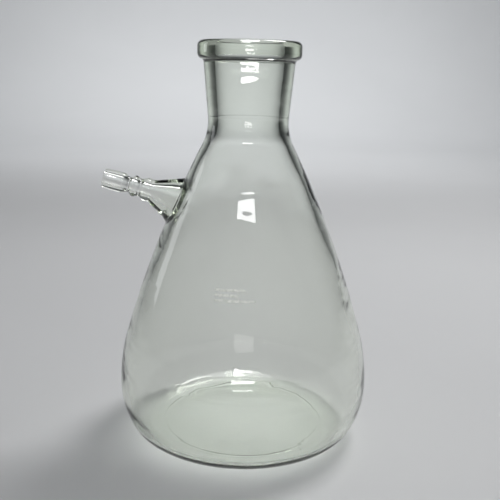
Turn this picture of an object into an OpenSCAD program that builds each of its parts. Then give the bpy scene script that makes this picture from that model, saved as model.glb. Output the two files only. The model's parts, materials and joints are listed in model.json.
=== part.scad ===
// Filter flask (Buchner flask), 1000 ml, heavy-walled clear glass.
// Conical blown body, thick tapered neck with a beaded rim, and a barbed
// side arm that is fused to the upper wall for the vacuum hose.
// Frame: origin on the flask's axis in the plane it rests on, +Z up the
// axis, side arm towards -X. All sizes in millimetres.

/* [Body] */
// Outer diameter at the widest place
body_d = 135; // [130:1:142]
// Height from the resting plane to the top of the rim
total_h = 210; // [205:1:220]
// Thickness of the blown wall
wall_t = 3.6; // [3:0.1:4.2]
// Thickness of the floor
floor_t = 4.8; // [4:0.1:5.5]
// Radius of the lower part of the heel
heel_r = 15; // [13:0.5:17]
// Radius of the flank between the heel and the widest place
flank_r = 45; // [40:1:50]
// Radius of the belly above the widest place
belly_r = 100; // [90:1:110]
// Inner radius of the resting ring, where the pushed-up centre begins
punt_r = 43.5; // [40:0.5:45]
// How far the centre of the underside is pushed up
punt_rise = 2.5; // [1.5:0.5:4]

/* [Neck] */
// Outer diameter of the neck where it meets the shoulder
neck_d = 42.2; // [40:0.2:45]
// Half angle by which the neck widens upwards
neck_flare = 5.2; // [4:0.2:6]
// Bore of the neck at its foot
neck_bore_d = 31.6; // [30:0.2:33]
// Bore of the neck just under the rim
mouth_d = 35.8; // [34:0.2:37]
// Radius of the hollow shoulder under the neck
shoulder_r = 27; // [24:1:30]

/* [Rim] */
// Outer diameter of the bead
rim_d = 53.6; // [52:0.2:56]
// Height of the bead
rim_h = 9.5; // [9:0.5:12]
// Rounding of the bead's outer upper edge
rim_top_r = 2.8; // [2:0.2:4]
// Rounding of the bead's outer lower edge
rim_low_r = 3; // [2:0.2:3]
// Rounding of the lip into the bore
lip_r = 3.2; // [2:0.2:3.4]

/* [Side arm] */
// Height at which the arm's axis meets the outer wall
arm_z = 128.8; // [122:0.2:134]
// Angle by which the arm rises outwards
arm_rise = 14.5; // [8:0.5:20]
// Length of the arm from the wall to its tip
arm_len = 39.5; // [38.5:0.5:44]
// Bore of the arm
arm_bore_d = 5.5; // [4.5:0.1:6]
// Outer diameter of the arm's root, where it joins the seal
arm_d = 12; // [11.6:0.1:12.6]
// Outer diameter of the cylindrical land on the end barb
land_d = 10.6; // [10.2:0.1:11.4]
// Outer diameter of the arm's tip
tip_d = 9.8; // [9.2:0.1:10.1]

/* [Seal] */
// Distance from the wall, along the arm's axis, of the joint between seal and arm
seal_end = 14.4; // [14:0.1:15]
// Angle by which the seal rises more steeply than the arm, to stand square to the wall
seal_tilt = 5.5; // [3:0.5:8]
// Radius of the seal's cone where it reaches the wall
seal_foot_r = 12.3; // [11.5:0.1:13]
// Radius round the seal's axis of the patch of wall that is worked into it
seal_r = 14; // [13.8:0.1:15]
// Radius of the opening on the inner side of the wall
seal_mouth_r = 7.5; // [6.5:0.1:8.5]

/* [Capacity mark] */
// Height of the lowest bar's lower edge
mark_z = 87.6; // [80:0.2:95]
// Thickness of the fired enamel
mark_t = 0.25; // [0.2:0.05:0.4]
// Height of each bar
mark_bar_h = 1.2; // [0.8:0.1:1.6]
// Step from one bar to the next
mark_step = 2.4; // [2:0.1:3]
// Width of the lowest bar, as an angle round the axis
mark_low_angle = 22; // [18:1:26]
// Width of the middle bar
mark_mid_angle = 13; // [10:1:18]
// Width of the top bar
mark_top_angle = 17; // [12:1:22]
// Angle of the bars' left ends from the front, towards the side arm
mark_start = 16; // [10:1:20]

/* [Hidden] */
$fn = 120;

glass = [0.80, 0.88, 0.78, 0.45];
glass_edge = [0.62, 0.74, 0.52, 0.6];
enamel = [0.94, 0.94, 0.90];

// Turns of the outline's arcs, in degrees
heel_turn = 62;
flank_turn = 90 - heel_turn;
belly_turn = 16;
slope_end = 27;

// Number of straight steps that stand for each arc of an outline
heel_steps = 10;
flank_steps = 6;
belly_steps = 5;
slope_steps = 12;
shoulder_steps = 8;
dome_steps = 8;
rim_steps = 8;
flare_steps = 8;
barb_steps = 6;
tip_steps = 4;

// Overrun of a cutter past the face that it opens
overrun = 1;

// A pen state is [x, z, heading]; heading 0 points outwards and 90 points up.
// pen_arc moves the pen along an arc of radius r through the turn t.
function pen_arc(s, r, t) =
    let (side = sign(t), cx = s[0] - side * r * sin(s[2]), cz = s[1] + side * r * cos(s[2]), a = s[2] + t)
    [cx + side * r * sin(a), cz - side * r * cos(a), a];

// Points along that arc, without its first one
function arc_points(s, r, t, steps) =
    [for (i = [1:steps]) let (p = pen_arc(s, r, t * i / steps)) [p[0], p[1]]];

// The point of a pen state, and a state shifted sideways by d into the glass
function place(s) = [s[0], s[1]];
function inward(s, d) = [s[0] - d * sin(s[2]), s[1] + d * cos(s[2]), s[2]];

// Outer outline of the body: foot, heel, flank, belly, slope and shoulder
foot = [body_d / 2 - heel_r * sin(heel_turn) - flank_r * (1 - sin(heel_turn)), 0, 0];
heel_top = pen_arc(foot, heel_r, heel_turn);
widest = pen_arc(heel_top, flank_r, flank_turn);
belly_top = pen_arc(widest, belly_r, belly_turn);
shoulder_drop = shoulder_r * (cos(neck_flare) - cos(slope_end));
slope_r = (belly_top[0] - neck_d / 2 - shoulder_drop) / (cos(belly_turn) - cos(slope_end));
slope_top = pen_arc(belly_top, slope_r, slope_end - belly_turn);
neck_foot = pen_arc(slope_top, shoulder_r, -slope_end - neck_flare);

outer_wall = concat(
    [place(foot)],
    arc_points(foot, heel_r, heel_turn, heel_steps),
    arc_points(heel_top, flank_r, flank_turn, flank_steps),
    arc_points(widest, belly_r, belly_turn, belly_steps),
    arc_points(belly_top, slope_r, slope_end - belly_turn, slope_steps),
    arc_points(slope_top, shoulder_r, -slope_end - neck_flare, shoulder_steps)
);

// Inner outline: the same arcs, one wall thickness in, with a deeper floor
in_heel_top = inward(heel_top, wall_t);
in_heel_r = (in_heel_top[1] - floor_t) / (1 - cos(heel_turn));
in_foot = [in_heel_top[0] - in_heel_r * sin(heel_turn), floor_t, 0];
in_widest = inward(widest, wall_t);
in_belly_top = inward(belly_top, wall_t);
in_slope_top = inward(slope_top, wall_t);

// The bore's taper runs on below the neck's foot to the kink in the shoulder
kink_drop = 5;
bore_slope = (mouth_d - neck_bore_d) / 2 / (total_h - rim_h - neck_foot[1]);
kink = [neck_bore_d / 2 - kink_drop * bore_slope, neck_foot[1] - kink_drop];

inner_wall = concat(
    [place(in_foot)],
    arc_points(in_foot, in_heel_r, heel_turn, heel_steps),
    arc_points(in_heel_top, flank_r - wall_t, flank_turn, flank_steps),
    arc_points(in_widest, belly_r - wall_t, belly_turn, belly_steps),
    arc_points(in_belly_top, slope_r - wall_t, slope_end - belly_turn, slope_steps),
    [kink, [neck_bore_d / 2, neck_foot[1]]]
);

// Shallow domes of the underside and of the floor above it
function dome_r(span, rise) = (span * span + rise * rise) / (2 * rise);
function dome(span, rise, base) =
    let (r = dome_r(span, rise), a = asin(span / r))
    [for (i = [0:dome_steps]) let (b = a * i / dome_steps) [r * sin(b), base + rise - r * (1 - cos(b))]];
underside = dome(punt_r, punt_rise, 0);
floor_dome = dome(in_foot[0], punt_rise, floor_t);

// Neck and rim
crease_z = total_h - rim_h;
crease_r = neck_d / 2 + (crease_z - neck_foot[1]) * tan(neck_flare);

// Height and outer radius of the wall, for what sits on it
wall_table = [for (p = outer_wall) if (p[1] > widest[1]) [p[1], p[0]]];
arm_wall_r = lookup(arm_z, wall_table);

// Barbs and valleys of the side arm, as distances back from its tip
barb3_back = 23.1;
valley2_back = 19.7;
barb2_back = 16.6;
valley1_back = 13.8;
land_back = 9.8;

// The same places as stations, measured outwards from the wall
barb3_s = arm_len - barb3_back;
valley2_s = arm_len - valley2_back;
barb2_s = arm_len - barb2_back;
valley1_s = arm_len - valley1_back;
land_s = arm_len - land_back;
land_len = 3.2;

// Radii there
barb3_r = arm_d / 2 + 0.15;
valley2_r = 4.7;
barb2_r = 5.7;
valley1_r = 4;
tip_round = 1;

// Smooth swell from one station and radius to the next, without its first point
function ease(t) = (1 - cos(180 * t)) / 2;
function wave(s0, r0, s1, r1) =
    [for (i = [1:barb_steps]) let (t = i / barb_steps) [r0 + (r1 - r0) * ease(t), s0 + (s1 - s0) * t]];

arm_outline = concat(
    [[0, seal_end], [arm_d / 2, seal_end]],
    wave(seal_end, arm_d / 2, barb3_s, barb3_r),
    wave(barb3_s, barb3_r, valley2_s, valley2_r),
    wave(valley2_s, valley2_r, barb2_s, barb2_r),
    wave(barb2_s, barb2_r, valley1_s, valley1_r),
    wave(valley1_s, valley1_r, land_s, land_d / 2),
    [[land_d / 2, land_s + land_len], [tip_d / 2, arm_len - tip_round]],
    arc_points([tip_d / 2, arm_len - tip_round, 90], tip_round, 90, tip_steps),
    [[0, arm_len]]
);

// Seal, along its own axis from the joint back to the wall: a widening cone, then a
// straight skirt that ends inside the wall. It begins behind the arm's tilted root.
cone_back = 1;
cone_slope = (seal_foot_r - arm_d / 2) / (seal_end - cone_back);
skirt_r = 13.6;
skirt_back = cone_back + (skirt_r - arm_d / 2) / cone_slope;
skirt_depth = 8;
skirt_end = seal_end + skirt_depth;
collar_len = 3;
seal_outline = [
    [0, -cone_back],
    [arm_d / 2, -cone_back],
    [skirt_r, -skirt_back],
    [skirt_r, -skirt_end],
    [0, -skirt_end]
];

// Inside the seal: a straight end for the arm's bore, then a flare past the inner face
seal_straight = 1.5;
in_flare_slope = (seal_mouth_r - arm_bore_d / 2) / (seal_end + wall_t - seal_straight);
in_flare_len = skirt_end - seal_straight;
in_flare_r = arm_bore_d / 2 + in_flare_slope * in_flare_len;

// How far the round plug of wall reaches to each side of the wall's outer face
plug_reach = 25;

// Puts its children in the arm's frame: origin on the wall, +Z out along the arm
module in_arm_frame() {
    translate([-arm_wall_r, 0, arm_z])
        rotate([0, arm_rise - 90, 0])
            children();
}

// Puts its children in the seal's frame: origin at the joint, -Z back to the wall
module in_seal_frame() {
    in_arm_frame()
        translate([0, 0, seal_end])
            rotate([0, seal_tilt, 0])
                children();
}

// Shell of the blown body, before the side arm's opening
module blown_shell() {
    rotate_extrude()
        polygon(concat(
            underside,
            outer_wall,
            [for (i = [len(inner_wall) - 1:-1:0]) inner_wall[i]],
            [for (i = [dome_steps - 1:-1:0]) floor_dome[i]]
        ));
}

// The hollow and the inner half of the wall, along the slope where the seal sits
module slope_core() {
    depth = wall_t / 2;
    start = inward(belly_top, depth);
    end = inward(slope_top, depth);
    face = arc_points(start, slope_r - depth, slope_end - belly_turn, slope_steps);
    rotate_extrude()
        polygon(concat([[0, start[1]], place(start)], face, [[0, end[1]]]));
}

// Round plug along the arm that takes in the fused part of the wall
module seal_plug() {
    in_seal_frame()
        translate([0, 0, -seal_end - plug_reach])
            cylinder(r = seal_r, h = 2 * plug_reach);
}

module flask_body() {
    color(glass)
        difference() {
            blown_shell();
            seal_plug();
        }
}

module neck_socket() {
    color(glass)
        rotate_extrude()
            polygon([
                [neck_bore_d / 2, neck_foot[1]],
                [neck_d / 2, neck_foot[1]],
                [crease_r, crease_z],
                [mouth_d / 2, crease_z]
            ]);
}

module rim_bead() {
    rim_r = rim_d / 2;
    mouth_r = mouth_d / 2;
    color(glass_edge)
        rotate_extrude()
            polygon(concat(
                [[mouth_r, crease_z], [crease_r, crease_z], [rim_r - rim_low_r, crease_z]],
                arc_points([rim_r - rim_low_r, crease_z, 0], rim_low_r, 90, rim_steps),
                [[rim_r, total_h - rim_top_r]],
                arc_points([rim_r, total_h - rim_top_r, 90], rim_top_r, 90, rim_steps),
                [[mouth_r + lip_r, total_h]],
                arc_points([mouth_r + lip_r, total_h, 180], lip_r, 90, rim_steps)
            ));
}

module side_arm() {
    color(glass)
        in_arm_frame()
            difference() {
                rotate_extrude()
                    polygon(arm_outline);
                translate([0, 0, seal_end - overrun])
                    cylinder(d = arm_bore_d, h = arm_len - seal_end + 2 * overrun);
            }
}

module side_arm_seal() {
    color(glass_edge)
        difference() {
            union() {
                intersection() {
                    blown_shell();
                    seal_plug();
                }
                difference() {
                    in_seal_frame()
                        rotate_extrude()
                            polygon(seal_outline);
                    slope_core();
                }
                in_arm_frame()
                    translate([0, 0, seal_end - collar_len])
                        cylinder(d = arm_d, h = collar_len);
            }
            in_arm_frame()
                translate([0, 0, seal_end - seal_straight - overrun])
                    cylinder(d = arm_bore_d, h = seal_straight + 2 * overrun);
            in_seal_frame()
                translate([0, 0, -skirt_end])
                    cylinder(r1 = in_flare_r, r2 = arm_bore_d / 2, h = in_flare_len);
        }
}

// Strip of enamel that follows the wall between two heights
function mark_strip(z0, z1) =
    [[lookup(z0, wall_table), z0], [lookup(z0, wall_table) + mark_t, z0],
     [lookup(z1, wall_table) + mark_t, z1], [lookup(z1, wall_table), z1]];

module capacity_mark() {
    front = -90;
    widths = [mark_low_angle, mark_mid_angle, mark_top_angle];
    color(enamel)
        for (i = [0:len(widths) - 1]) {
            low = mark_z + i * mark_step;
            rotate([0, 0, front - mark_start])
                rotate_extrude(angle = widths[i])
                    polygon(mark_strip(low, low + mark_bar_h));
        }
}

flask_body();
neck_socket();
rim_bead();
side_arm();
side_arm_seal();
capacity_mark();
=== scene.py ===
# Filter flask, 1000 ml: finished glass, materials, light and camera.
# Everything is in metres in the CAD model's frame: the origin is on the flask's axis
# in the plane it rests on, +Z points up the axis, and the side arm points towards -X.
import json
import math

import bmesh
import bpy
import numpy as np
from mathutils import Matrix, Vector


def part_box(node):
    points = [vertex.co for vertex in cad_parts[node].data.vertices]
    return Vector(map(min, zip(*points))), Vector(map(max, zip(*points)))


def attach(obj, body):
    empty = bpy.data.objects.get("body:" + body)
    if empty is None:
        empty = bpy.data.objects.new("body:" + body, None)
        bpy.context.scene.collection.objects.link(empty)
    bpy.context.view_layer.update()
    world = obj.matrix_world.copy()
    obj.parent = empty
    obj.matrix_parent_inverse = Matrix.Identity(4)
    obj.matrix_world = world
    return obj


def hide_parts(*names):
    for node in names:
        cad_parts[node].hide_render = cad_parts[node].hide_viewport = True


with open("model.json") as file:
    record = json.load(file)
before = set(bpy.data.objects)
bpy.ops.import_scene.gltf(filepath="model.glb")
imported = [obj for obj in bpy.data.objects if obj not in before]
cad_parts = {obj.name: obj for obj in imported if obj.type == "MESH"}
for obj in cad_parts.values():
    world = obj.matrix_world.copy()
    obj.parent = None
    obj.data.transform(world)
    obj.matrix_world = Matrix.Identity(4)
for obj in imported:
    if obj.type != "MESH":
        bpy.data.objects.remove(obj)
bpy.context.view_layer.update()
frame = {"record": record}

BODY = "root"
MM = 0.001

# --- Sizes read from the CAD frame -------------------------------------------------

NECK_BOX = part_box("neck_socket")
RIM_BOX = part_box("rim_bead")
MARK_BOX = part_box("capacity_mark")
MOUNTS = {m["name"]: m for m in frame["record"]["mounts"]}

NECK_FOOT_Z = NECK_BOX[0].z
CREASE_Z = RIM_BOX[0].z
TOTAL_H = RIM_BOX[1].z
ARM_BORE_R = MOUNTS["side_arm_bore"]["dims"]["r_mm"] * MM
LAND_R = MOUNTS["hose_barb"]["dims"]["r_mm"] * MM
ARM_OUT = Vector(MOUNTS["hose_barb"]["axis"]).normalized()

# --- Sizes repeated from the CAD source --------------------------------------------

BODY_R = 67.5 * MM
WALL_T = 3.6 * MM
FLOOR_T = 4.8 * MM
HEEL_R = 15 * MM
FLANK_R = 45 * MM
BELLY_R = 100 * MM
SHOULDER_R = 27 * MM
PUNT_R = 43.5 * MM
PUNT_RISE = 2.5 * MM
NECK_R = 21.1 * MM
NECK_FLARE = math.radians(5.2)
NECK_BORE_R = 15.8 * MM
MOUTH_R = 17.9 * MM
KINK_DROP = 5 * MM
RIM_R = 26.8 * MM
RIM_TOP_R = 2.8 * MM
RIM_LOW_R = 3 * MM
LIP_R = 3.2 * MM
ARM_Z = 128.8 * MM
ARM_LEN = 39.5 * MM
ARM_R = 6 * MM
TIP_R = 4.9 * MM
SEAL_R = 14 * MM
SEAL_END = 14.4 * MM
SEAL_TILT = math.radians(5.5)
SEAL_SLOPE = 0.47
SEAL_STRAIGHT = 1.5 * MM
INNER_FLARE_SLOPE = 0.288

HEEL_TURN = math.radians(62)
FLANK_TURN = math.radians(28)
BELLY_TURN = math.radians(16)
SLOPE_END = math.radians(27)
QUARTER = math.pi / 2

# Fused pieces run a hairline into each other, so that light passes from one to the next
LAP = 0.01 * MM

# How far each corner of the blown outline is rounded, each way
BASE_SOFT = 1.2 * MM
CREASE_SOFT = 1.5 * MM
FLOOR_SOFT = 2.5 * MM
SHOULDER_SOFT = 5 * MM
BORE_SOFT = 4.5 * MM

# Groove round the edge of the pushed-up base
RING_DEPTH = 0.14 * MM
RING_HALF = 0.7 * MM


# --- Outlines in the (radius, height) plane ----------------------------------------

def arc(pen, radius, turn, steps):
    """Points along an arc from the pen (x, z, heading), and the pen at its end."""
    side = math.copysign(1.0, turn)
    heading = pen[2] + np.linspace(0.0, turn, steps + 1)
    cx = pen[0] - side * radius * math.sin(pen[2])
    cz = pen[1] + side * radius * math.cos(pen[2])
    points = np.column_stack([
        cx + side * radius * np.sin(heading),
        cz - side * radius * np.cos(heading),
    ])
    return points, (points[-1, 0], points[-1, 1], heading[-1])


def line(start, end, steps):
    """Evenly spaced points from start to end."""
    t = np.linspace(0.0, 1.0, steps + 1)[:, None]
    return np.array(start) * (1 - t) + np.array(end) * t


def chain(*paths):
    """Outlines end to end, without the repeated points where they meet."""
    return np.vstack([paths[0]] + [p[1:] for p in paths[1:]])


def cut_back(path, length):
    """The path without a first stretch of that length."""
    step = np.linalg.norm(np.diff(path, axis=0), axis=1)
    along = np.concatenate([[0.0], np.cumsum(step)])
    start = [np.interp(length, along, path[:, k]) for k in (0, 1)]
    return np.vstack([start, path[along > length + 0.01 * MM]])


def soften(before, after, reach, steps=8):
    """Two outlines that share a corner, with the corner rounded over reach each way."""
    a = cut_back(before[::-1], reach)[::-1]
    b = cut_back(after, reach)
    t = np.linspace(0.0, 1.0, steps + 2)[1:-1, None]
    bend = (1 - t) ** 2 * a[-1] + 2 * t * (1 - t) * after[0] + t ** 2 * b[0]
    return np.vstack([a, bend, b])


def split_rising(path, z):
    """A path that rises through height z, as the part below it and the rest."""
    i = int(np.argmax(path[:, 1] > z + 0.001 * MM))
    t = (z - path[i - 1, 1]) / (path[i, 1] - path[i - 1, 1])
    cut = path[i - 1] * (1 - t) + path[i] * t
    return np.vstack([path[:i], cut]), np.vstack([cut, path[i:]])


def dome(span, rise, base, steps):
    """Shallow dome from the axis out to span, its edge at height base."""
    radius = (span * span + rise * rise) / (2 * rise)
    return arc((0.0, base + rise, 0.0), radius, -math.asin(span / radius), steps)[0]


def inward(pen, depth):
    """The pen moved sideways into the glass."""
    return (pen[0] - depth * math.sin(pen[2]), pen[1] + depth * math.cos(pen[2]), pen[2])


def body_pens():
    """Where each arc of the body's outer outline starts, and the slope's radius."""
    foot_x = BODY_R - HEEL_R * math.sin(HEEL_TURN) - FLANK_R * (1 - math.sin(HEEL_TURN))
    foot = (foot_x, 0.0, 0.0)
    heel = arc(foot, HEEL_R, HEEL_TURN, 1)[1]
    widest = arc(heel, FLANK_R, FLANK_TURN, 1)[1]
    belly = arc(widest, BELLY_R, BELLY_TURN, 1)[1]
    drop = SHOULDER_R * (math.cos(NECK_FLARE) - math.cos(SLOPE_END))
    slope_r = (belly[0] - NECK_R - drop) / (math.cos(BELLY_TURN) - math.cos(SLOPE_END))
    slope = arc(belly, slope_r, SLOPE_END - BELLY_TURN, 1)[1]
    return foot, heel, widest, belly, slope, slope_r


FOOT, HEEL, WIDEST, BELLY, SLOPE, SLOPE_R = body_pens()
SLOPE_CX = BELLY[0] - SLOPE_R * math.sin(BELLY[2])
SLOPE_CZ = BELLY[1] + SLOPE_R * math.cos(BELLY[2])
SLOPE_ROWS = 76


def wall_r(z, depth):
    """Radius of the slope's surface at height z, depth inside the outer face."""
    return SLOPE_CX + np.sqrt((SLOPE_R - depth) ** 2 - (z - SLOPE_CZ) ** 2)


def slope_outline(depth):
    """The long slope between belly and shoulder, from the bottom up."""
    return arc(inward(BELLY, depth), SLOPE_R - depth, SLOPE_END - BELLY_TURN, SLOPE_ROWS)[0]


def wall_outline(depth, foot_pen, foot_radius):
    """Heel, flank, belly and slope of one face of the wall, from the foot up."""
    return chain(
        arc(foot_pen, foot_radius, HEEL_TURN, 12)[0],
        arc(inward(HEEL, depth), FLANK_R - depth, FLANK_TURN, 16)[0],
        arc(inward(WIDEST, depth), BELLY_R - depth, BELLY_TURN, 20)[0],
        slope_outline(depth),
    )


def bead_outline(crease):
    """The bead from the crease over the top and down the lip to the crease's height."""
    low, pen = arc((RIM_R - RIM_LOW_R, CREASE_Z, 0.0), RIM_LOW_R, QUARTER, 12)
    flank = line(pen[:2], (RIM_R, TOTAL_H - RIM_TOP_R), 4)
    top, pen = arc((RIM_R, TOTAL_H - RIM_TOP_R, QUARTER), RIM_TOP_R, QUARTER, 14)
    flat = line(pen[:2], (MOUTH_R + LIP_R, TOTAL_H), 2)
    lip, pen = arc((MOUTH_R + LIP_R, TOTAL_H, 2 * QUARTER), LIP_R, QUARTER, 12)
    throat = line(pen[:2], (MOUTH_R, CREASE_Z), 8)
    return chain(line(crease, (RIM_R - RIM_LOW_R, CREASE_Z), 1), low, flank, top, flat, lip, throat)


def ring_groove(path):
    """How far the fine groove round the pushed-up base lifts each point of the outline."""
    lift = RING_DEPTH * np.exp(-((path[:, 0] - PUNT_R) / RING_HALF) ** 2)
    return np.where(path[:, 1] < 1 * MM, lift, 0.0)


def outer_outlines():
    """Outer face of the body up to the neck's foot, and of neck and bead above it."""
    resting = chain(line((PUNT_R, 0.0), (FOOT[0], 0.0), 4), wall_outline(0.0, FOOT, HEEL_R))
    base = soften(dome(PUNT_R, PUNT_RISE, 0.0, 24), resting, BASE_SOFT, 12)
    base[:, 1] += ring_groove(base)
    shoulder, pen = arc(SLOPE, SHOULDER_R, -SLOPE_END - NECK_FLARE, 14)
    crease = (pen[0] + (CREASE_Z - pen[1]) * math.tan(NECK_FLARE), CREASE_Z)
    upper = soften(line(pen[:2], crease, 18), bead_outline(crease), CREASE_SOFT)
    return chain(base, shoulder), upper


BORE_SLOPE = (MOUTH_R - NECK_BORE_R) / (CREASE_Z - NECK_FOOT_Z)
KINK = (NECK_BORE_R - KINK_DROP * BORE_SLOPE, NECK_FOOT_Z - KINK_DROP)


def inner_outline():
    """Inner face from the centre of the floor to the neck's foot."""
    heel = inward(HEEL, WALL_T)
    radius = (heel[1] - FLOOR_T) / (1 - math.cos(HEEL_TURN))
    foot = (heel[0] - radius * math.sin(HEEL_TURN), FLOOR_T, 0.0)
    wall = wall_outline(WALL_T, foot, radius)
    floor = soften(dome(foot[0], PUNT_RISE, FLOOR_T, 26), wall, FLOOR_SOFT)
    shoulder = line(wall[-1], KINK, 9)
    bore = line(KINK, (NECK_BORE_R, NECK_FOOT_Z), 5)
    return soften(soften(floor, shoulder, SHOULDER_SOFT), bore, BORE_SOFT, 10)


# --- Frames of the side arm and of its seal -----------------------------------------

ACROSS = np.array([0.0, 1.0, 0.0])
ARM_AXIS = np.array(ARM_OUT)
ARM_ROOT = np.array([-float(wall_r(ARM_Z, 0.0)), 0.0, ARM_Z])
ARM_RISE = math.asin(ARM_OUT.z)
SEAL_AXIS = np.array([-math.cos(ARM_RISE + SEAL_TILT), 0.0, math.sin(ARM_RISE + SEAL_TILT)])
SEAL_ROOT = ARM_ROOT + SEAL_END * (ARM_AXIS - SEAL_AXIS)
ARM = (ARM_ROOT, ARM_AXIS)
SEAL = (SEAL_ROOT, SEAL_AXIS)
# Stretch of the seal's axis in which both faces of the wall are looked for
SEAL_SEARCH = (-18 * MM, 9 * MM)
BISECTIONS = 40


def polar(tube, radius, angle, along):
    """Points in the flask's frame from polar coordinates round a tube's axis."""
    origin, axis = tube
    upward = np.array([axis[2], 0.0, -axis[0]])
    radius, angle, along = np.broadcast_arrays(radius, angle, along)
    return (origin + (radius * np.cos(angle))[..., None] * upward
            + (radius * np.sin(angle))[..., None] * ACROSS + along[..., None] * axis)


def wall_along_seal(radius, angle, depth):
    """How far along the seal's axis the wall's face lies at a polar place, by bisection."""
    radius, angle = np.broadcast_arrays(radius, angle)
    low = np.full(radius.shape, SEAL_SEARCH[0])
    high = np.full(radius.shape, SEAL_SEARCH[1])
    for _ in range(BISECTIONS):
        mid = (low + high) / 2
        p = polar(SEAL, radius, angle, mid)
        outside = np.hypot(p[..., 0], p[..., 1]) > wall_r(p[..., 2], depth)
        high = np.where(outside, mid, high)
        low = np.where(outside, low, mid)
    return (low + high) / 2


# --- Mesh building ------------------------------------------------------------------

def smoothstep(low, high, x):
    """0 below low, 1 above high and a smooth rise between them."""
    t = np.clip((x - low) / (high - low), 0.0, 1.0)
    return t * t * (3 - 2 * t)


INNER_WAVE = 0.14 * MM
OUTER_WAVE = -0.045 * MM


def blown_waviness(points, inside):
    """Slow unevenness of the blown wall, which dies away towards every fused seam."""
    angle = np.arctan2(points[:, 1], points[:, 0])
    z = points[:, 2]
    from_root = points - SEAL_ROOT
    off_axis = np.linalg.norm(from_root - (from_root @ SEAL_AXIS)[:, None] * SEAL_AXIS, axis=1)
    near_seal = (points[:, 0] < 0) & (np.abs(z - SEAL_ROOT[2]) < 40 * MM)
    calm = np.where(near_seal, smoothstep(SEAL_R + 1 * MM, SEAL_R + 14 * MM, off_axis), 1.0)
    calm = calm * smoothstep(5 * MM, 20 * MM, z) * (1 - smoothstep(140 * MM, 160 * MM, z))
    swell = (0.5 * np.sin(3 * angle + 70 * z + 0.4) + 0.35 * np.sin(7 * angle - 120 * z + 1.9)
             + 0.3 * np.sin(2 * angle + 260 * z + 2.6) + 0.2 * np.sin(11 * angle + 180 * z))
    shift = np.where(inside, INNER_WAVE, OUTER_WAVE) * swell * calm
    radius = np.maximum(np.hypot(points[:, 0], points[:, 1]), 1 * MM)
    moved = points.copy()
    moved[:, :2] *= (1 + shift / radius)[:, None]
    return moved


def smooth_mesh(name, verts, faces, material):
    """Mesh with smooth shading and one material."""
    mesh = bpy.data.meshes.new(name)
    mesh.from_pydata([tuple(v) for v in verts], [], faces)
    mesh.polygons.foreach_set("use_smooth", [True] * len(faces))
    mesh.materials.append(material)
    return mesh


# Edges that bend more than this are shaded as corners
SHARP = math.radians(40)


def make_piece(name, node, verts, faces, material):
    """Closed smooth mesh in the place of a CAD node, with outward normals."""
    mesh = smooth_mesh(name, verts, faces, material)
    bm = bmesh.new()
    bm.from_mesh(mesh)
    bmesh.ops.recalc_face_normals(bm, faces=bm.faces)
    if bm.calc_volume(signed=True) < 0:
        bmesh.ops.reverse_faces(bm, faces=bm.faces)
    # The flat hidden face of a fused joint must not bend the shading beside it
    for edge in bm.edges:
        edge.smooth = edge.calc_face_angle(0.0) < SHARP
    bm.to_mesh(mesh)
    bm.free()
    obj = bpy.data.objects.new(name, mesh)
    bpy.context.scene.collection.objects.link(obj)
    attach(obj, BODY)
    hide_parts(node)


def grid_quads(rows, columns, closed_rows=False):
    """Quads of a grid whose columns run round; the rows can run round as well."""
    quads = []
    for i in range(rows if closed_rows else rows - 1):
        a, b = i * columns, ((i + 1) % rows) * columns
        for j in range(columns):
            k = (j + 1) % columns
            quads.append((a + j, a + k, b + k, b + j))
    return quads


def tube_piece(name, node, rings, material):
    """Piece from an array [row, column, xyz] that closes both ways."""
    rows, columns = rings.shape[:2]
    make_piece(name, node, rings.reshape(-1, 3), grid_quads(rows, columns, True), material)


def turned(path, angles):
    """Array [row, column, xyz] of an outline turned round the flask's axis."""
    r, z = path[:, :1], path[:, 1:]
    return np.stack([r * np.cos(angles), r * np.sin(angles), z + 0 * angles], axis=2)


COLUMNS = 256
ANGLES = 2 * math.pi * (np.arange(COLUMNS) + 0.5) / COLUMNS


# --- Glass pieces -------------------------------------------------------------------

HOLE_MARGIN = 3.2 * MM
PATCH_LAYERS = 6
# Depths of the wall's outer and inner face
WALL_FACES = (0.0, WALL_T)


def hole_window():
    """Which rows of the slope and which columns hold the side arm's opening."""
    half = SEAL_R + HOLE_MARGIN
    heights = slope_outline(0.0)[:, 1]
    rows = [k for k in range(SLOPE_ROWS + 1) if abs(heights[k] - SEAL_ROOT[2]) < half]
    span = half / float(wall_r(SEAL_ROOT[2], 0.0))
    columns = [j for j in range(COLUMNS) if abs(ANGLES[j] - math.pi) < span]
    return rows, columns


def window_loop(rows, columns):
    """Grid places (row, column) round a window, given from its low row to its high row."""
    return ([(rows[0], j) for j in columns[:-1]] + [(i, columns[-1]) for i in rows[:-1]]
            + [(rows[-1], j) for j in columns[:0:-1]] + [(i, columns[0]) for i in rows[:0:-1]])


def bridge(ring_a, ring_b):
    """Quads between two rings of the same number of vertices."""
    n = len(ring_a)
    return [(ring_a[k], ring_a[(k + 1) % n], ring_b[(k + 1) % n], ring_b[k]) for k in range(n)]


def patch_rings(edge_points, seal_angles, depth):
    """Rings from a window's edge in to the round opening, all on the wall's own face."""
    radius = SEAL_R - LAP
    opening = polar(SEAL, radius, seal_angles, wall_along_seal(radius, seal_angles, depth))
    start, end = (np.column_stack([np.arctan2(p[:, 1], p[:, 0]) % (2 * math.pi), p[:, 2]])
                  for p in (edge_points, opening))
    rings = []
    for k in range(1, PATCH_LAYERS + 1):
        t = k / PATCH_LAYERS
        angle, z = (start * (1 - t) + end * t).T
        r = wall_r(z, depth)
        rings.append(np.column_stack([r * np.cos(angle), r * np.sin(angle), z]))
    return rings


def angles_round_seal(points):
    """Where points lie round the seal's axis, from its upward side."""
    rel = points - SEAL_ROOT
    upward = np.array([SEAL_AXIS[2], 0.0, -SEAL_AXIS[0]])
    return np.arctan2(rel @ ACROSS, rel @ upward)


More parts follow.
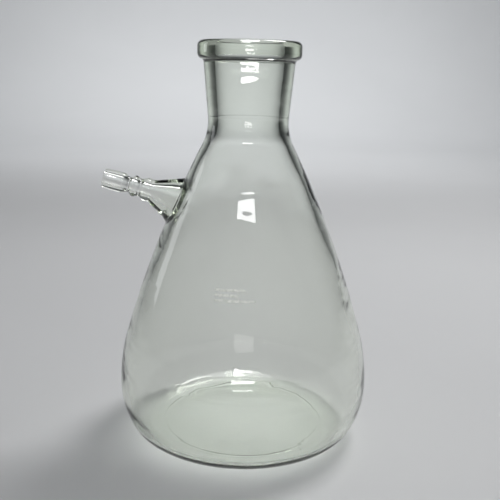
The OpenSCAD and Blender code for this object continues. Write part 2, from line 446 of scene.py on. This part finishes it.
def open_shell(path, windows, columns):
    """Faces of the turned wall: quads outside the two windows, and fans at the two poles."""
    def in_window(place):
        i, j = divmod(place, COLUMNS)
        return columns[0] <= j < columns[-1] and any(min(w) <= i < max(w) for w in windows)

    quads = grid_quads(len(path), COLUMNS)
    faces = [quad for place, quad in enumerate(quads) if not in_window(place)]
    bottom = len(path) * COLUMNS
    top, last = bottom + 1, bottom - COLUMNS
    for j in range(COLUMNS):
        k = (j + 1) % COLUMNS
        faces += [(bottom, j, k), (top, last + k, last + j)]
    return faces


def flask_body(material):
    """Blown vessel with a round opening for the side arm; gives the opening's own angles."""
    outer = outer_outlines()[0][1:]
    path = np.vstack([outer, inner_outline()[:0:-1]])
    points = turned(path, ANGLES).reshape(-1, 3)
    rows, columns = hole_window()
    windows = []
    for depth in WALL_FACES:
        slope = slope_outline(depth)
        windows.append([int(np.argmin(np.linalg.norm(path - slope[k], axis=1))) for k in rows])
    faces = open_shell(path, windows, columns)
    verts = [points, [[0.0, 0.0, PUNT_RISE], [0.0, 0.0, FLOOR_T + PUNT_RISE]]]
    count = len(points) + 2

    # Both faces run in to a round opening, and a hidden fused face joins the two edges
    loops = [[i * COLUMNS + j for i, j in window_loop(w, columns)] for w in windows]
    seal_angles = angles_round_seal(points[loops[0]])
    openings = []
    for loop, depth in zip(loops, WALL_FACES):
        for ring in patch_rings(points[loop], seal_angles, depth):
            inner_loop = list(range(count, count + len(ring)))
            faces += bridge(loop, inner_loop)
            verts.append(ring)
            count += len(ring)
            loop = inner_loop
        openings.append(loop)
    faces += bridge(*openings)

    verts = np.vstack(verts)
    inside = np.zeros(len(verts), bool)
    inside[len(outer) * COLUMNS:len(points)] = True
    inside[len(points) + 1] = True
    inside[len(points) + 2 + PATCH_LAYERS * len(seal_angles):] = True
    make_piece("glass_flask_body", "flask_body", blown_waviness(verts, inside), faces, material)
    return seal_angles


def neck_socket(material):
    """Thick tapered neck, from the shoulder's narrowest ring to the crease under the bead."""
    outer = split_rising(outer_outlines()[1], CREASE_Z)[0]
    outer[0, 1] -= LAP
    inner = line((MOUTH_R, CREASE_Z), (NECK_BORE_R, NECK_FOOT_Z - LAP), 18)
    rings = turned(np.vstack([outer, inner]), ANGLES)
    tube_piece("glass_neck_socket", "neck_socket", rings, material)


def rim_bead(material):
    """Fire-polished bead, closed by a hidden fused face on the neck."""
    path = split_rising(outer_outlines()[1], CREASE_Z)[1]
    path[0, 1] -= LAP
    path[-1, 1] -= LAP
    tube_piece("glass_rim_bead", "rim_bead", turned(path, ANGLES), material)


def wave(start, end, steps=10):
    """Smooth swell from one (station, radius) to the next."""
    t = np.linspace(0.0, 1.0, steps + 1)
    ease = (1 - np.cos(math.pi * t)) / 2
    stations = start[0] + (end[0] - start[0]) * t
    radii = start[1] + (end[1] - start[1]) * ease
    return np.column_stack([stations, radii])


# Side arm's stations: distance out from the wall, and radius
FIRST_BARB = (ARM_LEN - 23.1 * MM, 6.15 * MM)
FIRST_VALLEY = (ARM_LEN - 19.7 * MM, 4.7 * MM)
SECOND_BARB = (ARM_LEN - 16.6 * MM, 5.7 * MM)
SECOND_VALLEY = (ARM_LEN - 13.8 * MM, 4.0 * MM)
LAND_START = (ARM_LEN - 9.8 * MM, LAND_R)
LAND_END = (ARM_LEN - 6.6 * MM, LAND_R)
TIP_SOFT = 1.0 * MM
TIP_BORE_SOFT = 0.7 * MM


def side_arm(material, angles):
    """Barbed hose nipple: two swells, a plain end and a fire-polished tip."""
    foot = (SEAL_END - LAP, ARM_R)
    stations = [foot, FIRST_BARB, FIRST_VALLEY, SECOND_BARB, SECOND_VALLEY, LAND_START]
    swells = [wave(a, b) for a, b in zip(stations, stations[1:])]
    plain_end = [line(LAND_START, LAND_END, 4), line(LAND_END, (ARM_LEN, TIP_R), 6)]
    tip = line((ARM_LEN, TIP_R), (ARM_LEN, ARM_BORE_R), 4)
    bore = line((ARM_LEN, ARM_BORE_R), (SEAL_END - LAP, ARM_BORE_R), 24)
    outer = soften(chain(*swells, *plain_end), tip, TIP_SOFT)
    path = soften(outer, bore, TIP_BORE_SOFT)
    rings = polar(ARM, path[:, 1:], angles[None, :], path[:, :1])
    tube_piece("glass_side_arm", "side_arm", rings, material)


# Radii where the seal's faces leave the wall, turn and run on as cones
OUTER_TURN = (13.4 * MM, 12.3 * MM, 10.9 * MM)
INNER_TURN = (9.6 * MM, 7.6 * MM, 6.4 * MM)
# Low swelling of the weld round the arm's foot
WELD_R = 11.6 * MM
WELD_HALF = 0.6 * MM
WELD_RISE = 0.35 * MM
# How gently the cone turns into the tube, and over what length it takes the arm's axis
CONE_SOFT = 0.6 * MM
AXIS_TURN = 3.2 * MM
OUTER_STRAIGHT = 1.0 * MM


def bezier(a, b, c, t):
    """Quadratic curve from a to c, drawn towards b."""
    return (1 - t) ** 2 * a + 2 * t * (1 - t) * b + t ** 2 * c


def seal_face(angles, depth, turn, tube_r, slope, straight):
    """Rings of one face of the seal, from its edge in the wall to the joint with the arm."""
    leave_r, corner_r, cone_r = turn
    rings = []
    for r in np.linspace(SEAL_R, leave_r, 5)[:-1]:
        rings.append(polar(SEAL, r, angles, wall_along_seal(r, angles, depth)))
    leave = wall_along_seal(leave_r, angles, depth)
    corner = wall_along_seal(corner_r, angles, depth)
    cone_back = straight + (cone_r - tube_r) / slope
    for t in np.linspace(0.0, 1.0, 16):
        along = bezier(leave, corner, SEAL_END - cone_back, t)
        r = bezier(leave_r, corner_r, cone_r, t)
        weld = 0.0 if depth else WELD_RISE * math.exp(-((r - WELD_R) / WELD_HALF) ** 2)
        rings.append(polar(SEAL, r, angles, along + weld))
    # The cone turns softly into the tube, which follows the arm's axis at its end
    for back in np.linspace(cone_back, 0.0, 24)[1:]:
        ramp = (back - straight + math.hypot(back - straight, CONE_SOFT)) / 2
        on_cone = polar(SEAL, tube_r + slope * ramp, angles, SEAL_END - back)
        on_tube = polar(ARM, tube_r, angles, SEAL_END - back)
        share = float(smoothstep(0.0, AXIS_TURN, back))
        rings.append(on_cone * share + on_tube * (1 - share))
    return np.array(rings)


def side_arm_seal(material, angles):
    """Worked patch of wall that rises in a flared collar to the side arm's root."""
    outer = seal_face(angles, 0.0, OUTER_TURN, ARM_R, SEAL_SLOPE, OUTER_STRAIGHT)
    inner = seal_face(angles, WALL_T, INNER_TURN, ARM_BORE_R, INNER_FLARE_SLOPE, SEAL_STRAIGHT)
    rings = np.concatenate([outer, inner[::-1]])
    tube_piece("glass_side_arm_seal", "side_arm_seal", rings, material)


# --- Capacity mark ------------------------------------------------------------------

# The enamel's thickness at the bar's edge and beyond it, and its hairline gap to the wall
MARK_EDGE_T = 0.03 * MM
MARK_T = 0.16 * MM
MARK_GAP = 0.045 * MM
MARK_ROUND = 0.25 * MM
MARK_BAR_H = 1.2 * MM
MARK_STEP = 2.4 * MM
# The bars start 16 degrees to the left of the flask's front
MARK_START = math.radians(-90 - 16)
MARK_ANGLES = [math.radians(a) for a in (22, 13, 17)]
MARK_COLUMNS = 49
MARK_ROWS = 9


def bar_sheets(low, start, span):
    """Lower and upper sheet of one enamel bar with rounded ends, on the curved wall."""
    v = np.linspace(0.0, 1.0, MARK_ROWS)
    u = np.linspace(0.0, 1.0, MARK_COLUMNS)
    half = MARK_BAR_H / 2
    radius = float(wall_r(low + half, 0.0))
    z = low + half + half * np.sin(QUARTER * (2 * v - 1))
    # Each row is shorter by the rounding of the bar's ends
    inset = (half - np.sqrt(np.maximum(half ** 2 - (z - low - half) ** 2, 0.0))) / radius
    angle = start + inset[:, None] + (span - 2 * inset[:, None]) * u
    height = z[:, None] + 0 * angle
    edge_u = np.minimum(u, 1 - u) * span * radius
    edge_v = half - np.abs(z - low - half)
    rise = smoothstep(0.0, MARK_ROUND, np.minimum(edge_u[None, :], edge_v[:, None]))
    bottom = wall_r(height, 0.0) + MARK_GAP
    sheets = [np.stack([r * np.cos(angle), r * np.sin(angle), height], axis=2)
              for r in (bottom, bottom + MARK_EDGE_T + MARK_T * rise)]
    return np.array(sheets).reshape(-1, 3)


def bar_quads():
    """Quads of a bar's two sheets and of the edge between them."""
    quads = []
    sheet_size = MARK_ROWS * MARK_COLUMNS
    for sheet in (0, sheet_size):
        for i in range(MARK_ROWS - 1):
            for j in range(MARK_COLUMNS - 1):
                a = sheet + i * MARK_COLUMNS + j
                quads.append((a, a + 1, a + MARK_COLUMNS + 1, a + MARK_COLUMNS))
    edge = window_loop(range(MARK_ROWS), range(MARK_COLUMNS))
    ring = [i * MARK_COLUMNS + j for i, j in edge]
    quads += bridge(ring, [k + sheet_size for k in ring])
    return quads


def capacity_mark(material):
    """Plain graduation bars of fired enamel on the front of the wall."""
    verts, faces, count = [], [], 0
    for i, span in enumerate(MARK_ANGLES):
        points = bar_sheets(MARK_BOX[0].z + i * MARK_STEP, MARK_START, span)
        verts.append(points)
        faces += [tuple(k + count for k in quad) for quad in bar_quads()]
        count += len(points)
    make_piece("enamel_capacity_mark", "capacity_mark", np.vstack(verts), faces, material)


# --- Materials ----------------------------------------------------------------------

GLASS_IOR = 1.474
# Faint yellow-green of thick laboratory glass, taken up along the light's path
TINT = (0.45, 0.68, 0.22, 1.0)
TINT_DENSITY = 16.0


def new_material(name):
    """Empty node material with its node tree and its output."""
    material = bpy.data.materials.new(name)
    material.use_nodes = True
    tree = material.node_tree
    tree.nodes.clear()
    return material, tree, tree.nodes.new("ShaderNodeOutputMaterial")


def add(tree, kind, inputs=None, **settings):
    """A node with its settings; inputs are sockets to link or plain values."""
    node = tree.nodes.new(kind)
    for key, value in settings.items():
        setattr(node, key, value)
    for key, value in (inputs or {}).items():
        if isinstance(value, bpy.types.NodeSocket):
            tree.links.new(value, node.inputs[key])
        else:
            node.inputs[key].default_value = value
    return node


def scaled(tree, value, from_min, from_max, to_min, to_max):
    """A value mapped from one range to another, and held at its ends."""
    node = add(tree, "ShaderNodeMapRange", {
        "Value": value, "From Min": from_min, "From Max": from_max,
        "To Min": to_min, "To Max": to_max})
    return node.outputs["Result"]


def bore_mask(tree, place):
    """1 on the tooled bore of rim and neck, down to the shoulder, and 0 on every other face."""
    parts = add(tree, "ShaderNodeSeparateXYZ", {"Vector": place})
    flat = add(tree, "ShaderNodeCombineXYZ", {"X": parts.outputs["X"], "Y": parts.outputs["Y"]})
    length = add(tree, "ShaderNodeVectorMath", {0: flat.outputs["Vector"]}, operation="LENGTH")
    near = scaled(tree, length.outputs["Value"], MOUTH_R + 0.2 * MM, MOUTH_R + 1.2 * MM, 1.0, 0.0)
    high = scaled(tree, parts.outputs["Z"], KINK[1] - 1 * MM, KINK[1] + 1 * MM, 0.0, 1.0)
    return add(tree, "ShaderNodeMath", {0: near, 1: high}, operation="MULTIPLY").outputs["Value"]


def glass_relief(tree, place):
    """Broad ripples, flat striae and small seeds, as one bumped normal."""
    squash = add(tree, "ShaderNodeMapping", {"Vector": place, "Scale": (0.7, 0.7, 2.2)})
    swirl = add(tree, "ShaderNodeTexNoise", {
        "Vector": squash.outputs["Vector"], "Scale": 22.0, "Detail": 2.0,
        "Roughness": 0.45, "Distortion": 0.6})
    ripples = add(tree, "ShaderNodeBump", {
        "Height": swirl.outputs["Fac"], "Strength": 0.05, "Distance": 2 * MM})
    flat = add(tree, "ShaderNodeMapping", {"Vector": place, "Scale": (34.0, 34.0, 130.0)})
    bands = add(tree, "ShaderNodeTexNoise", {
        "Vector": flat.outputs["Vector"], "Scale": 1.0, "Detail": 1.0, "Distortion": 0.4})
    striae = add(tree, "ShaderNodeBump", {
        "Height": bands.outputs["Fac"], "Strength": 0.17, "Distance": 1 * MM,
        "Normal": ripples.outputs["Normal"]})
    seeds = add(tree, "ShaderNodeTexVoronoi", {"Vector": place, "Scale": 85.0})
    dots = scaled(tree, seeds.outputs["Distance"], 0.02, 0.055, 1.0, 0.0)
    dents = add(tree, "ShaderNodeBump", {
        "Height": dots, "Strength": 0.25, "Distance": 0.2 * MM, "Normal": striae.outputs["Normal"]})
    return dents.outputs["Normal"]


def glass_roughness(tree, place):
    """Fire-polished glass with a trace of handling, and a bore that a tool has dulled."""
    smear = add(tree, "ShaderNodeTexNoise", {"Vector": place, "Scale": 60.0, "Detail": 4.0})
    polished = scaled(tree, smear.outputs["Fac"], 0.35, 0.75, 0.0, 0.012)
    tooled = scaled(tree, smear.outputs["Fac"], 0.35, 0.75, 0.03, 0.07)
    return add(tree, "ShaderNodeMix", {0: bore_mask(tree, place), 2: polished, 3: tooled}).outputs[0]


def glass_material():
    """Clear glass with a slight relief, and a tint that deepens with the glass's thickness."""
    material, tree, output = new_material("clear_glass")
    place = add(tree, "ShaderNodeTexCoord").outputs["Object"]
    shader = add(tree, "ShaderNodeBsdfPrincipled", {
        "Base Color": (1.0, 1.0, 1.0, 1.0), "Roughness": glass_roughness(tree, place),
        "IOR": GLASS_IOR, "Transmission Weight": 1.0, "Normal": glass_relief(tree, place)})
    tree.links.new(shader.outputs["BSDF"], output.inputs["Surface"])
    volume = add(tree, "ShaderNodeVolumeAbsorption", {"Color": TINT, "Density": TINT_DENSITY})
    tree.links.new(volume.outputs["Volume"], output.inputs["Volume"])
    return material


def ramp(tree, value, low, high):
    """Colour between two (position, colour) stops."""
    node = add(tree, "ShaderNodeValToRGB", {"Fac": value})
    for element, (position, colour) in zip(node.color_ramp.elements, (low, high)):
        element.position = position
        element.color = colour
    return node.outputs["Color"]


THIN_ENAMEL = (0.60, 0.63, 0.58, 1.0)
FULL_ENAMEL = (0.86, 0.87, 0.83, 1.0)


def enamel_material():
    """Fired white enamel: slightly uneven, satin, thinner in specks."""
    material, tree, output = new_material("white_enamel")
    place = add(tree, "ShaderNodeTexCoord").outputs["Object"]
    noise = add(tree, "ShaderNodeTexNoise", {"Vector": place, "Scale": 900.0, "Detail": 5.0})
    grain = noise.outputs["Fac"]
    relief = add(tree, "ShaderNodeBump", {"Height": grain, "Strength": 0.3, "Distance": 0.1 * MM})
    shader = add(tree, "ShaderNodeBsdfPrincipled", {
        "Base Color": ramp(tree, grain, (0.3, THIN_ENAMEL), (0.65, FULL_ENAMEL)),
        "Roughness": scaled(tree, grain, 0.0, 1.0, 0.3, 0.55), "Normal": relief.outputs["Normal"]})
    tree.links.new(shader.outputs["BSDF"], output.inputs["Surface"])
    return material


FLOOR_DARK = (0.66, 0.67, 0.68, 1.0)
FLOOR_LIGHT = (0.72, 0.73, 0.74, 1.0)
# Painted shade: the darker colour of the studio's far sides, in place of light falling off there
SIDE_PAINTED_SHADE = (0.24, 0.245, 0.25, 1.0)
# Painted shade: how far out to each side the floor's colour starts to darken, and where it's darkest
PAINTED_SHADE_START = 0.85
PAINTED_SHADE_END = 2.1


def floor_material():
    """Plain pale studio floor with a barely uneven tone, and painted shade that darkens it far out
    on both sides.
    """
    material, tree, output = new_material("studio_floor")
    place = add(tree, "ShaderNodeTexCoord").outputs["Object"]
    cloud = add(tree, "ShaderNodeTexNoise", {"Vector": place, "Scale": 3.0, "Detail": 3.0})
    pale = ramp(tree, cloud.outputs["Fac"], (0.0, FLOOR_DARK), (1.0, FLOOR_LIGHT))
    sideways = add(tree, "ShaderNodeSeparateXYZ", {"Vector": place}).outputs["X"]
    out = add(tree, "ShaderNodeMath", {0: sideways}, operation="ABSOLUTE").outputs["Value"]
    # Painted shade: the colour darkens towards the far sides
    painted_shade = scaled(tree, out, PAINTED_SHADE_START, PAINTED_SHADE_END, 0.0, 1.0)
    colour = add(tree, "ShaderNodeMix", {0: painted_shade, 6: pale, 7: SIDE_PAINTED_SHADE}, data_type="RGBA")
    shader = add(tree, "ShaderNodeBsdfPrincipled", {
        "Base Color": colour.outputs[2], "Roughness": 0.6})
    tree.links.new(shader.outputs["BSDF"], output.inputs["Surface"])
    return material


# --- Stage, light and camera --------------------------------------------------------

STUDIO_R = 2.6
STUDIO_CURVE = 0.9
STUDIO_H = 2.2
STUDIO_HUB_R = 0.02
STUDIO_COLUMNS = 96
# The floor lies a little low, so that no face of the glass lies in it
FLOOR_GAP = 0.2 * MM


def studio():
    """Round pale floor that curves up into a wall all round."""
    sweep = arc((STUDIO_R - STUDIO_CURVE, 0.0, 0.0), STUDIO_CURVE, QUARTER, 16)[0]
    path = chain(line((STUDIO_HUB_R, 0.0), (STUDIO_R - STUDIO_CURVE, 0.0), 12), sweep,
                 line((STUDIO_R, STUDIO_CURVE), (STUDIO_R, STUDIO_H), 4))
    angles = 2 * math.pi * np.arange(STUDIO_COLUMNS) / STUDIO_COLUMNS
    points = turned(path, angles).reshape(-1, 3)
    faces = grid_quads(len(path), STUDIO_COLUMNS)
    faces.append(tuple(range(STUDIO_COLUMNS))[::-1])
    mesh = smooth_mesh("studio", points, faces, floor_material())
    obj = bpy.data.objects.new("studio_floor", mesh)
    obj.location.z = -FLOOR_GAP
    bpy.context.scene.collection.objects.link(obj)


def softbox(name, place, aim, size, power, colour):
    """Rectangular area light at a place, turned towards aim, with its power in watts."""
    light = bpy.data.lights.new(name, "AREA")
    light.shape = "RECTANGLE"
    light.size, light.size_y = size
    light.energy = power
    light.color = colour
    obj = bpy.data.objects.new(name, light)
    obj.location = place
    obj.rotation_euler = (Vector(aim) - Vector(place)).to_track_quat("-Z", "Y").to_euler()
    bpy.context.scene.collection.objects.link(obj)
    return obj


VESSEL_PIECES = ("glass_flask_body", "glass_neck_socket", "glass_rim_bead")
ARM_PIECES = ("glass_side_arm", "glass_side_arm_seal")

# Most lights are aimed at the middle of the flask
MIDDLE = (0.0, 0.0, 0.11)
NECK_MIDDLE = (0.0, 0.0, 0.19)
RIM_MIDDLE = (0.0, 0.0, 0.20)
WARM = (1.0, 0.99, 0.97)
WHITE = (1.0, 1.0, 1.0)
COOL = (0.96, 0.98, 1.0)
HIGH_LIGHT_Z = 0.9


def group_of(name, pieces):
    """Collection of the pieces that a light may fall on, or that may hold it back."""
    group = bpy.data.collections.new(name)
    for piece in pieces:
        group.objects.link(bpy.data.objects[piece])
    return group


def accents():
    """Lights that draw highlights on the glass or lift the mark, and leave the floor alone."""
    vessel = group_of("vessel_pieces", VESSEL_PIECES)
    body = group_of("body_pieces", VESSEL_PIECES[:1])
    neck = group_of("neck_pieces", VESSEL_PIECES[1:])
    rim = group_of("rim_piece", VESSEL_PIECES[2:])
    arm = group_of("arm_pieces", ARM_PIECES)
    mark = group_of("mark_pieces", ["enamel_capacity_mark"])
    # Name, place, aim, size across and up, power in watts, colour, and the pieces it falls on
    lights = [
        ("low_strip_1", (0.0, -1.20, 0.03), MIDDLE, (0.34, 0.02), 0.4, WARM, vessel),
        ("low_strip_2", (0.0, -1.20, 0.12), MIDDLE, (0.42, 0.08), 1.6, WARM, vessel),
        ("low_strip_3", (0.0, -1.20, 0.23), MIDDLE, (0.36, 0.03), 0.6, WARM, vessel),
        ("neck_strip", (0.0, -0.80, 0.058), NECK_MIDDLE, (0.65, 0.024), 1.0, WARM, neck),
        ("rim_light", (-0.08, -0.45, 0.75), RIM_MIDDLE, (0.18, 0.34), 3.2, WHITE, rim),
        ("front_strip", (0.0, -1.25, 0.38), MIDDLE, (0.40, 0.07), 0.20, WARM, body),
        ("high_strip", (0.0, -0.95, 0.84), MIDDLE, (0.50, 0.075), 1.9, WHITE, body),
        ("top_strip", (0.0, -0.10, 1.0), MIDDLE, (0.34, 0.40), 12.0, WHITE, vessel),
        ("side_panel", (-1.40, 0.56, 0.45), MIDDLE, (0.30, 0.60), 1.0, COOL, vessel),
        ("arm_spot", (-0.10, -0.80, 0.95), MIDDLE, (0.12, 0.12), 2.5, WHITE, arm),
        ("mark_light", (-0.1, -1.0, 0.60), MIDDLE, (0.4, 0.4), 5.5, WHITE, mark),
    ]
    for *settings, pieces in lights:
        light = softbox(*settings)
        light.visible_camera = False
        light.light_linking.receiver_collection = pieces
        # The lower lights would show as white blocks through the glass from behind
        light.visible_transmission = light.location.z > HIGH_LIGHT_Z


def lighting():
    """Soft studio light from overhead and on the background, with accents on the glass."""
    key = softbox("key", (0.20, 0.35, 1.45), MIDDLE, (1.0, 1.0), 7.0, (0.99, 0.99, 1.0))
    # Clear glass lets this light through, so only the floor holds it back
    key.light_linking.blocker_collection = group_of("key_blockers", ["studio_floor"])
    softbox("fill", (0.45, 0.50, 1.15), MIDDLE, (0.40, 0.40), 7.5, (1.0, 0.99, 0.98))
    backdrop = (0.0, 2.2, 0.1)
    beam = softbox("background", (0.0, 0.55, 1.60), backdrop, (1.3, 0.5), 9.0, (0.98, 0.99, 1.0))
    beam.data.spread = math.radians(80)
    accents()
    world = bpy.data.worlds.new("room")
    world.use_nodes = True
    room = world.node_tree.nodes["Background"]
    room.inputs["Color"].default_value = (0.80, 0.86, 0.95, 1.0)
    room.inputs["Strength"].default_value = 0.05
    bpy.context.scene.world = world
    bpy.context.scene.view_settings.view_transform = "Standard"


CAMERA_DISTANCE = 0.400
CAMERA_HEIGHT = 0.195
CAMERA_PITCH = math.radians(13.23)
CAMERA_YAW = math.radians(0.34)
CAMERA_ROLL = math.radians(1.30)
CAMERA_FOV = math.radians(36.39)


def camera():
    """Camera in front of the flask, a little under its rim's height and pointing down."""
    data = bpy.data.cameras.new("camera")
    data.sensor_width = 36.0
    data.angle = CAMERA_FOV
    data.clip_start = 0.01
    obj = bpy.data.objects.new("camera", data)
    forward = Vector((math.sin(CAMERA_YAW) * math.cos(CAMERA_PITCH),
                      math.cos(CAMERA_YAW) * math.cos(CAMERA_PITCH), -math.sin(CAMERA_PITCH)))
    right = Vector((math.cos(CAMERA_YAW), -math.sin(CAMERA_YAW), 0.0))
    up = right.cross(forward)
    across = right * math.cos(CAMERA_ROLL) + up * math.sin(CAMERA_ROLL)
    upright = up * math.cos(CAMERA_ROLL) - right * math.sin(CAMERA_ROLL)
    turn = Matrix((across, upright, -forward)).transposed().to_4x4()
    obj.matrix_world = Matrix.Translation((0.0, -CAMERA_DISTANCE, CAMERA_HEIGHT)) @ turn
    bpy.context.scene.collection.objects.link(obj)
    bpy.context.scene.camera = obj


def main():
    """The flask's six pieces, then the studio, its light and its camera."""
    glass = glass_material()
    seal_angles = flask_body(glass)
    neck_socket(glass)
    rim_bead(glass)
    side_arm_seal(glass, seal_angles)
    side_arm(glass, seal_angles)
    capacity_mark(enamel_material())
    studio()
    lighting()
    camera()


main()
